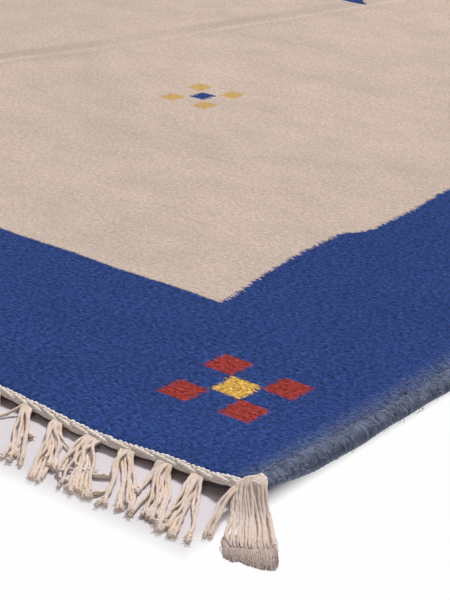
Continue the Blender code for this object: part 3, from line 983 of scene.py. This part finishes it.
# The tassels: the tails of the plaited warp ends, left in bunches of loose plied cotton yarns that
# drop to the floor and lie on it, swept to one side, with cut and frayed tips.
STRAND_RADIUS = 0.00106
STRAND_SIZES = (0.85, 1.12)
STRAND_POINTS = 17
STRAND_SIDES = 6
STRANDS_IN_TASSEL = 9
TASSEL_COUNT = 50
TASSEL_SEED = 21
LAST_ROOT_U = 1.396
EVEN_HALF_ROOT = 0.0032
EVEN_FAN = 0.0085
SWEEP_MIDDLE = -0.012
SWEEP_SWING = 0.022
SWEEP_PERIOD = 26
SWEEP_SETTLE = 4.5
FIRST_SWEEP = -0.0440
FIRST_EVEN_ROOT_U = 0.168
UNEVEN_TASSELS = 7
EVEN_REACH = (0.052, 0.060)
EVEN_FANS = (0.75, 1.1)
TIP_SCATTER = 0.0022
YARN_SCATTER = 0.0010
SHORTEST_BY = 0.14
YARN_LAYERS = (0.0, 0.0, 0.0015, 0.0028)
YARN_WAVES = 0.0007
STRAY_WAVES = 0.0005
YARN_HOLD = 0.0130
YARN_HOLD_SCATTER = 0.0012
# Bunches of the uneven tassels by the right corner
BUNCHES = (
    # root_u, half_root, tip_u, half_tip, reach, strands
    (0.0345, 0.0034, 0.0100, 0.0085, 0.0580, 9),
    (0.0575, 0.0034, 0.0270, 0.0110, 0.0575, 9),
    (0.0872, 0.0017, 0.0505, 0.0030, 0.0570, 4),
    (0.0828, 0.0017, 0.0420, 0.0030, 0.0545, 4),
    (0.1110, 0.0036, 0.0780, 0.0095, 0.0585, 10),
    (0.1405, 0.0026, 0.1050, 0.0045, 0.0585, 5),
    (0.1400, 0.0034, 0.1080, 0.0060, 0.0440, 5),
    (0.1670, 0.0036, 0.1300, 0.0075, 0.0530, 9),
)
# Single yarns that stray from their tassels: how soon each drops to the floor, and the places that
# it passes, as u and out
STRAYS = (
    (3, ((0.138, 0.008), (0.124, 0.016), (0.109, 0.022), (0.095, 0.029), (0.082, 0.034))),
    (3, ((0.104, 0.010), (0.0982, 0.0317), (0.0908, 0.0337), (0.0847, 0.0352), (0.0747, 0.0316))),
    (3, ((0.110, 0.010), (0.0981, 0.0428), (0.0975, 0.0364), (0.0882, 0.0404), (0.0853, 0.0496),
         (0.0839, 0.0556))),
    (3, ((0.108, 0.010), (0.0930, 0.0330), (0.0860, 0.0440), (0.0766, 0.0537), (0.0714, 0.0536))),
    (3, ((0.114, 0.010), (0.1010, 0.0380), (0.0940, 0.0480), (0.0870, 0.0470), (0.0900, 0.0400))),
    (3, ((0.083, 0.010), (0.0680, 0.0360), (0.0642, 0.0432), (0.0676, 0.0483), (0.0710, 0.0533))),
    (3, ((0.084, 0.010), (0.0660, 0.0400), (0.0623, 0.0459), (0.0600, 0.0538), (0.0592, 0.0601))),
    (3, ((0.0614, 0.0070), (0.0601, 0.0122), (0.0581, 0.0193), (0.0558, 0.0275), (0.0542, 0.0348))),
    (3, ((0.0590, 0.0070), (0.0590, 0.0130), (0.0565, 0.0210), (0.0535, 0.0290), (0.0510, 0.0370))),
    (3, ((0.056, 0.008), (0.0400, 0.0380), (0.0337, 0.0468), (0.0268, 0.0504), (0.0208, 0.0507),
         (0.0190, 0.0465))),
    (3, ((0.055, 0.008), (0.0370, 0.0360), (0.0290, 0.0450), (0.0220, 0.0460), (0.0237, 0.0396))),
    (3, ((0.164, 0.008), (0.156, 0.016), (0.149, 0.022), (0.141, 0.025))),
    (3, ((0.169, 0.008), (0.172, 0.016), (0.176, 0.024), (0.186, 0.031))),
    (1, ((0.0052, 0.0120), (0.0029, 0.0240), (-0.0038, 0.0393), (-0.0060, 0.0467))),
    (1, ((0.0026, 0.0128), (-0.0008, 0.0250), (-0.0059, 0.0376), (-0.0100, 0.0465))),
)
# The corner tassel: its yarns come over the swollen end of the side roll by a shoulder, fan down to
# the floor, and end in one felted brush. Each line runs from its left to its right.
CORNER_YARNS = 29
CORNER_LAYERS = (0, 0.0012, 0.0024)
CORNER_WAVES = 0.0004
CORNER_SPACING_SCATTER = 0.3
LANDING_SCATTER = (0.16, 0.03)
LEAST_LANDING = 0.03
SHOULDER = (
    # share, u, out, height
    (0.00, 0.0105, 0.0040, 0.0098),
    (0.30, 0.0040, 0.0038, 0.0132),
    (0.60, -0.0020, 0.0030, 0.0158),
    (0.85, -0.0070, 0.0022, 0.0166),
    (1.00, -0.0108, 0.0014, 0.0146),
)
BRUSH_START = (
    # share, u, out
    (0.00, -0.0153, 0.0412),
    (0.25, -0.0220, 0.0375),
    (0.50, -0.0265, 0.0330),
    (0.75, -0.0300, 0.0270),
    (1.00, -0.0318, 0.0215),
)
BRUSH_END = (
    # share, u, out
    (0.00, -0.0262, 0.0545),
    (0.12, -0.0318, 0.0550),
    (0.28, -0.0342, 0.0520),
    (0.45, -0.0393, 0.0523),
    (0.70, -0.0475, 0.0510),
    (0.85, -0.0518, 0.0485),
    (0.95, -0.0538, 0.0469),
    (1.00, -0.0518, 0.0424),
)
BRUSH_FIBRES = 2300
BRUSH_HEIGHT = 0.0022
BRUSH_THICKNESS = (0.00034, 0.00020)
BRUSH_STARTS = (-0.15, 0.55)
BRUSH_STRETCHES = (0.35, 0.7)
# The knob where its yarns turn over the corner, as u, out and height
KNOB = ((-0.0015, -0.0055, 0.0146), (-0.0056, -0.0022, 0.0156),
        (-0.0080, 0.0008, 0.0144), (-0.0090, 0.0022, 0.0110))
KNOB_RADIUS = 0.0017
KNOB_SPACING = 0.0016
TIP_FIBRES = 12
TIP_LENGTH = 0.0020
TIP_LENGTHS = (0.35, 1.0)
TIP_VEER = 0.50
TIP_CURL = 0.60
TIP_REACH_BACK = 0.09
FIBRE_POINTS = 3
TIP_THICKNESS = (0.00042, 0.00026)
TIP_SWELL = 0.50


def smooth_through(knots, count):
    """Evenly spaced points on a smooth curve through a few given ones."""
    knots = np.asarray(knots, float)
    chord = np.r_[0, np.cumsum(np.linalg.norm(np.diff(knots, axis=0), axis=1))]
    slopes = np.gradient(knots, chord, axis=0)
    t = np.linspace(0, chord[-1], count)
    k = np.clip(np.searchsorted(chord, t, side="right") - 1, 0, len(chord) - 2)
    span = (chord[k + 1] - chord[k])[:, None]
    f = (t - chord[k])[:, None] / span
    return ((2 * f ** 3 - 3 * f ** 2 + 1) * knots[k] + (f ** 3 - 2 * f ** 2 + f) * span * slopes[k]
            + (3 * f ** 2 - 2 * f ** 3) * knots[k + 1] + (f ** 3 - f ** 2) * span * slopes[k + 1])


def wavy(path, draw, size):
    """Give a yarn's path in u, out and height the slight waves of a limp yarn."""
    way = np.linspace(0, 1, len(path))
    held = eased(way / 0.25)
    for reach in (1.0, 0.5):
        turns, start = draw.uniform(1.2, 3.2) / reach, draw.uniform(0, math.tau)
        path[:, 0] += size * reach * draw.uniform(0.4, 1.0) * np.sin(math.tau * turns * way + start) * held
    return path


for end, end_name in end_names.items():
    draw = np.random.default_rng(TASSEL_SEED + end)
    yarns = []
    for root_u, half_root, tip_u, half_tip, reach, strands in BUNCHES:
        for lane in np.linspace(-1, 1, strands):
            yarns.append((root_u + lane * half_root, tip_u + lane * half_tip, reach))
    even_tassels = TASSEL_COUNT - UNEVEN_TASSELS
    step = (LAST_ROOT_U - FIRST_EVEN_ROOT_U) / even_tassels
    for number in range(1, even_tassels + 1):
        swing = -math.cos(math.tau * number / SWEEP_PERIOD)
        settle = min(1.0, number / SWEEP_SETTLE)
        sweep_u = FIRST_SWEEP * (1 - settle) + (SWEEP_MIDDLE + SWEEP_SWING * swing) * settle
        root_u = FIRST_EVEN_ROOT_U + step * number
        reach = draw.uniform(*EVEN_REACH)
        fan = EVEN_FAN * draw.uniform(*EVEN_FANS)
        for lane in np.linspace(-1, 1, STRANDS_IN_TASSEL):
            yarns.append((root_u + lane * EVEN_HALF_ROOT, root_u + sweep_u + lane * fan, reach))
    paths = []
    for root_u, tip_u, reach in yarns:
        tip_u += draw.normal(0, TIP_SCATTER)
        reach *= 1 - SHORTEST_BY * draw.random() ** 2
        foot = float(cord_foot(root_u, end))
        layer = STRAND_RADIUS + draw.choice(YARN_LAYERS)
        lean = (tip_u - root_u) / reach
        knots = (
            (root_u, PIECE_GAP + CORD_WIDTH * 0.50, foot + CORD_HEIGHT * 0.50),
            (root_u + lean * 0.002, PIECE_GAP + CORD_WIDTH * 1.15, foot * 0.9 + CORD_HEIGHT * 0.52),
            (root_u + lean * 0.008, YARN_HOLD + draw.uniform(-1, 1) * YARN_HOLD_SCATTER,
             layer + foot * 0.35 + 0.0006),
            (root_u + lean * 0.42 * reach + draw.normal(0, YARN_SCATTER), 0.46 * reach, layer),
            (root_u + lean * 0.75 * reach + draw.normal(0, YARN_SCATTER), 0.76 * reach,
             0.5 * layer + 0.0006),
            (tip_u, reach, STRAND_RADIUS * 1.05),
        )
        paths.append(wavy(smooth_through(knots, STRAND_POINTS), draw, YARN_WAVES))
    for drop, places in STRAYS:
        foot = float(cord_foot(places[0][0], end))
        heights = np.linspace(1, 0, len(places)) ** drop * (foot + 0.0020) + STRAND_RADIUS * 1.1
        root = (places[0][0], PIECE_GAP + CORD_WIDTH * 0.5, foot + CORD_HEIGHT * 0.5)
        knots = [root] + [(u, out, z) for (u, out), z in zip(places, heights)]
        paths.append(wavy(smooth_through(knots, STRAND_POINTS), draw, STRAY_WAVES))
    loose = len(paths)
    for k in range(CORNER_YARNS):
        share = k + draw.uniform(-CORNER_SPACING_SCATTER, CORNER_SPACING_SCATTER)
        share /= CORNER_YARNS - 1
        shoulder = on_line(SHOULDER, 0.22 + 0.78 * share) + (0, 0, draw.uniform(-0.0014, 0.0003))
        landing_share = max(LEAST_LANDING, share + draw.normal(0, LANDING_SCATTER[k % 2]))
        landing_height = STRAND_RADIUS + draw.choice(CORNER_LAYERS)
        landing = np.r_[on_line(BRUSH_START, landing_share), landing_height]
        finish = np.r_[on_line(BRUSH_END, share), 0.0012]
        start = np.array([-0.0015 - 0.0055 * share, -0.0035, shoulder[2] * 0.5 + 0.0075])
        knots = (start, shoulder,
                 shoulder + (landing - shoulder) * (0.18, 0.22, 0.36) + (draw.normal(0, 0.0006), 0.0008, 0),
                 shoulder + (landing - shoulder) * (0.58, 0.58, 0.86),
                 landing, landing + (finish - landing) * 0.40)
        paths.append(wavy(smooth_through(knots, STRAND_POINTS), draw, CORNER_WAVES))
    way = np.linspace(0, 1, STRAND_POINTS)
    swollen = 1 + TIP_SWELL * eased((way - 0.80) / 0.14) * (1 - 0.6 * eased((way - 0.92) / 0.08))
    thinned = 1 - 0.55 * eased((way - 0.90) / 0.10)
    thicknesses = []
    for k in range(len(paths)):
        own_radius = STRAND_RADIUS * draw.uniform(*STRAND_SIZES)
        uneven = 1 + 0.07 * np.sin(way * 40 + draw.uniform(0, 6))
        thicknesses.append(own_radius * uneven * (swollen if k < loose else thinned))
    wears = [0.08 * draw.random() + 0.25 * eased((way - 0.86) / 0.20) for _ in paths]
    for off in (-KNOB_SPACING, 0.0, KNOB_SPACING):
        turn = smooth_through(KNOB, STRAND_POINTS)
        turn[:, 0] += off
        turn[:, 2] -= abs(off) * 0.6
        paths.append(turn)
        thicknesses.append(KNOB_RADIUS * np.sqrt(np.clip(np.sin(math.pi * (0.08 + 0.84 * way)), 0.2, 1)))
        wears.append(0.1 + 0 * way)
    laid = [at_end(path[:, 0], path[:, 1], np.maximum(path[:, 2], size * 1.05), end)
            for path, size in zip(paths, thicknesses)]
    strands = lay_yarns(f"tassels_{end_name}", laid, thicknesses, wears, STRAND_SIDES, strand_cotton)

    frays, fray_sizes, fray_wears = [], [], []
    fibre_way = np.linspace(0, 1, FIBRE_POINTS)
    for path in paths[:loose]:
        heading = path[-1] - path[-3]
        heading /= np.linalg.norm(heading)
        side_way = np.array([heading[1], -heading[0], 0.0])
        for _ in range(TIP_FIBRES):
            back = draw.uniform(0.0, TIP_REACH_BACK)
            at = on_line(np.column_stack([way, path]), 1 - back)
            length = TIP_LENGTH * draw.uniform(*TIP_LENGTHS)
            veer, curl = draw.normal(0, TIP_VEER), draw.normal(0, TIP_CURL)
            at = at + side_way * draw.normal(0, 0.0006)
            bend = (veer * fibre_way + curl * fibre_way ** 2)[:, None]
            fibre = at + length * (heading * fibre_way[:, None] + side_way * bend)
            lift = draw.uniform(-0.8, 1.2) * STRAND_RADIUS * (1 + fibre_way)
            fibre[:, 2] = np.maximum(at[2] + lift, 0.0005)
            frays.append(at_end(fibre[:, 0], fibre[:, 1], fibre[:, 2], end))
            fray_sizes.append(np.linspace(*TIP_THICKNESS, FIBRE_POINTS))
            fray_wears.append(np.linspace(0.00, 0.25, FIBRE_POINTS) * draw.random())
    for _ in range(BRUSH_FIBRES):
        share = draw.uniform(-0.01, 1.0)
        first = on_line(BRUSH_START, share + draw.normal(0, 0.02))
        last = on_line(BRUSH_END, share)
        begin = draw.uniform(*BRUSH_STARTS)
        stretch = min(1.0, begin + draw.uniform(*BRUSH_STRETCHES)) - begin
        run = (begin + stretch * fibre_way)[:, None]
        fibre = first + (last - first) * run
        fibre[:, 0] += draw.normal(0, 0.0005) + draw.normal(0, 0.0009) * np.sin(math.pi * fibre_way)
        lift = draw.random() * BRUSH_HEIGHT * (1.15 - 0.85 * run[:, 0]) + 0.0004
        frays.append(at_end(fibre[:, 0], fibre[:, 1], lift, end))
        fray_sizes.append(np.linspace(*BRUSH_THICKNESS, FIBRE_POINTS))
        fray_wears.append(np.clip(0.10 + 1.1 * run[:, 0] + draw.normal(0, 0.10), 0, 1))
    frayed = lay_yarns(f"tassel_tips_{end_name}", frays, fray_sizes, fray_wears, 3, strand_cotton)
    end_pieces[end] += [strands, frayed]

for end, pieces in end_pieces.items():
    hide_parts(f"fringe_{end_names[end]}")
    for piece in pieces:
        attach(piece, "root")
